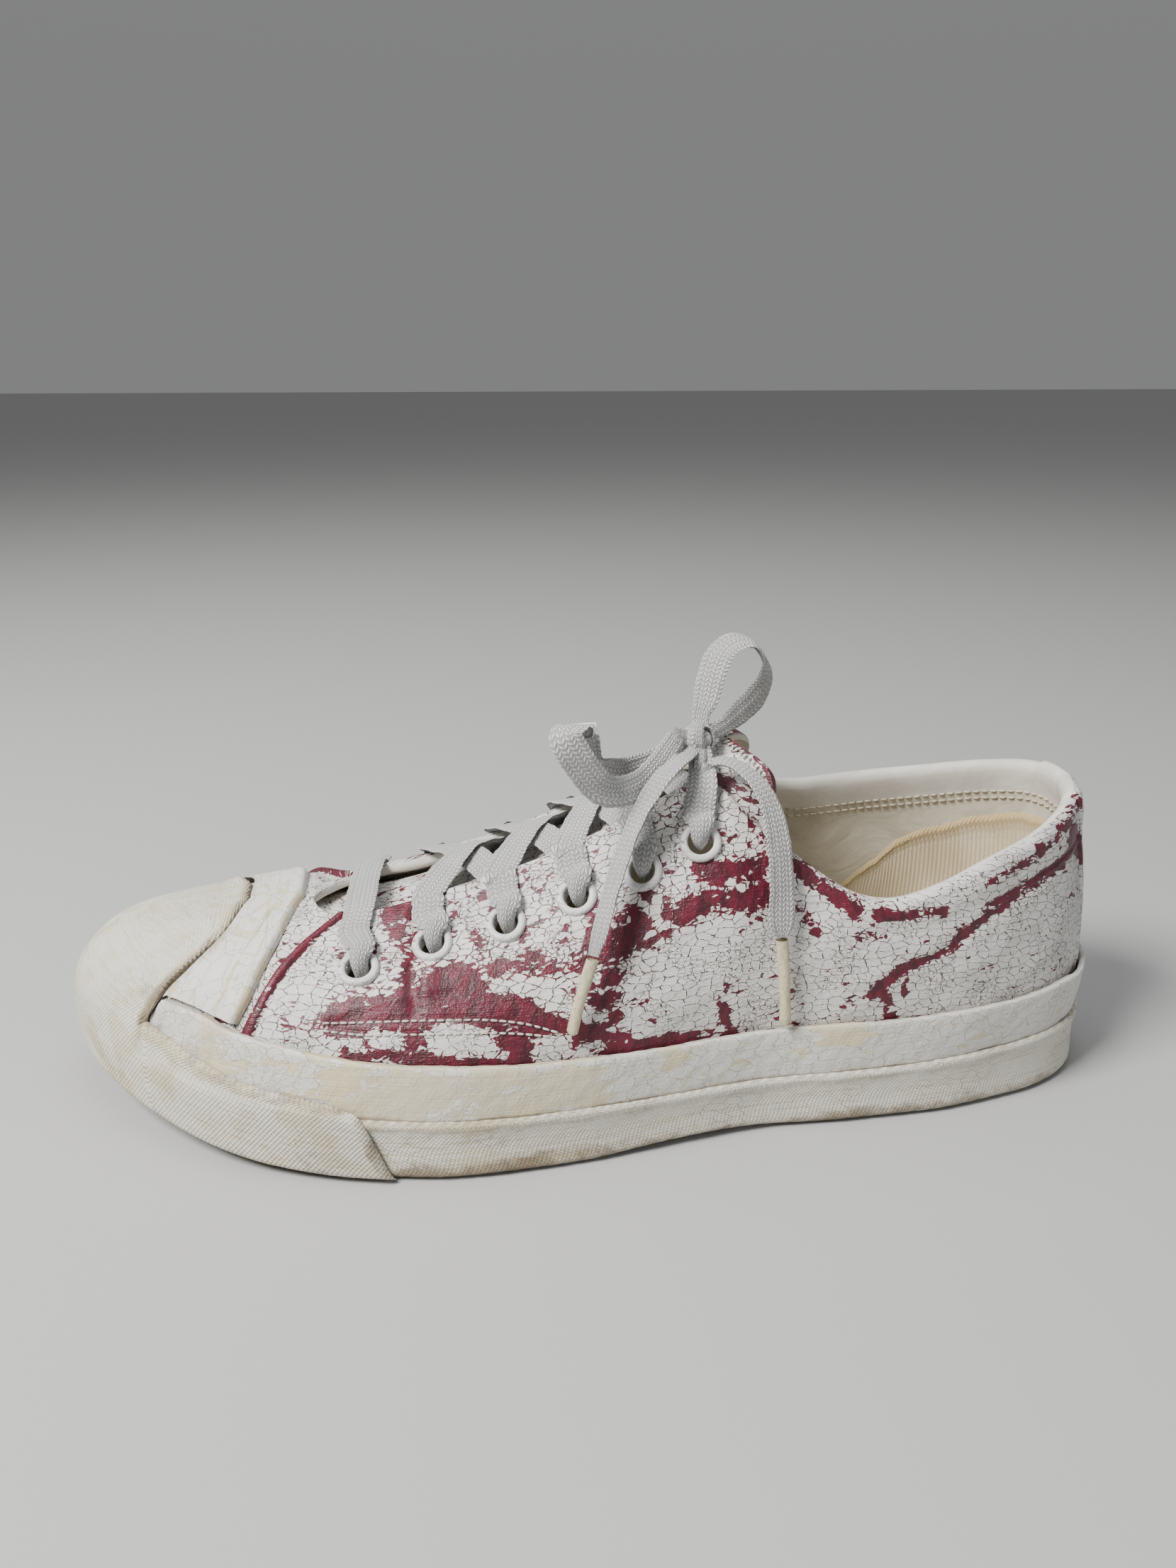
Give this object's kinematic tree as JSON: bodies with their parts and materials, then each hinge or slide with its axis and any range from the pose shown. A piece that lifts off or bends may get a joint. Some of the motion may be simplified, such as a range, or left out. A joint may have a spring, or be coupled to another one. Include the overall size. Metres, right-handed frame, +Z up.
{
  "type": "low lace-up sneaker",
  "caption": "Worn low-top lace-up sneaker with a smooth rubber toe cap, two-tier rubber sidewall, flaking painted leather upper and a tied bow.",
  "frame": {"origin": "centre of the heel's flat spot on the floor, under the seat of the heel", "axes": "+X from the heel to the toe, +Y to the outer (lateral) side of this left shoe, +Z up from the floor"},
  "size_m": [0.2905, 0.1084, 0.1223],
  "materials": {
    "painted_leather": "brush-painted off-white, cracked and flaking over deep maroon grained leather",
    "lining": "worn cream textile and leather, matte",
    "rubber": "aged cream rubber under cracked off-white paint",
    "cap_rubber": "aged cream rubber with a fine woven texture, dirty",
    "tread": "worn brown-cream rubber, matte",
    "eyelet_metal": "off-white painted metal, brush marks",
    "cotton": "flat woven cotton, grey-white, slightly fuzzy",
    "lace_tip": "yellowed translucent plastic film"
  },
  "bodies": {
    "root": {"upper": "painted_leather", "tongue": "painted_leather", "outsole": "tread", "insole": "lining", "foxing_lower": "rubber", "foxing_upper": "rubber", "toe_cap": "cap_rubber", "toe_strip": "rubber", "eyelet_outer_1": "eyelet_metal", "eyelet_outer_2": "eyelet_metal", "eyelet_outer_3": "eyelet_metal", "eyelet_outer_4": "eyelet_metal", "eyelet_outer_5": "eyelet_metal", "eyelet_outer_6": "eyelet_metal", "eyelet_inner_1": "eyelet_metal", "eyelet_inner_2": "eyelet_metal", "eyelet_inner_3": "eyelet_metal", "eyelet_inner_4": "eyelet_metal", "eyelet_inner_5": "eyelet_metal", "eyelet_inner_6": "eyelet_metal", "lace_bar": "cotton", "lace_crossing_2": "cotton", "lace_crossing_3": "cotton", "lace_crossing_4": "cotton", "lace_crossing_5": "cotton", "lace_rise_outer": "cotton", "lace_rise_inner": "cotton", "lace_knot": "cotton", "lace_loop_front": "cotton", "lace_loop_back": "cotton", "lace_end_front": "cotton", "lace_end_rear": "cotton", "lace_tip_front": "lace_tip", "lace_tip_rear": "lace_tip"}
  },
  "joints": []
}
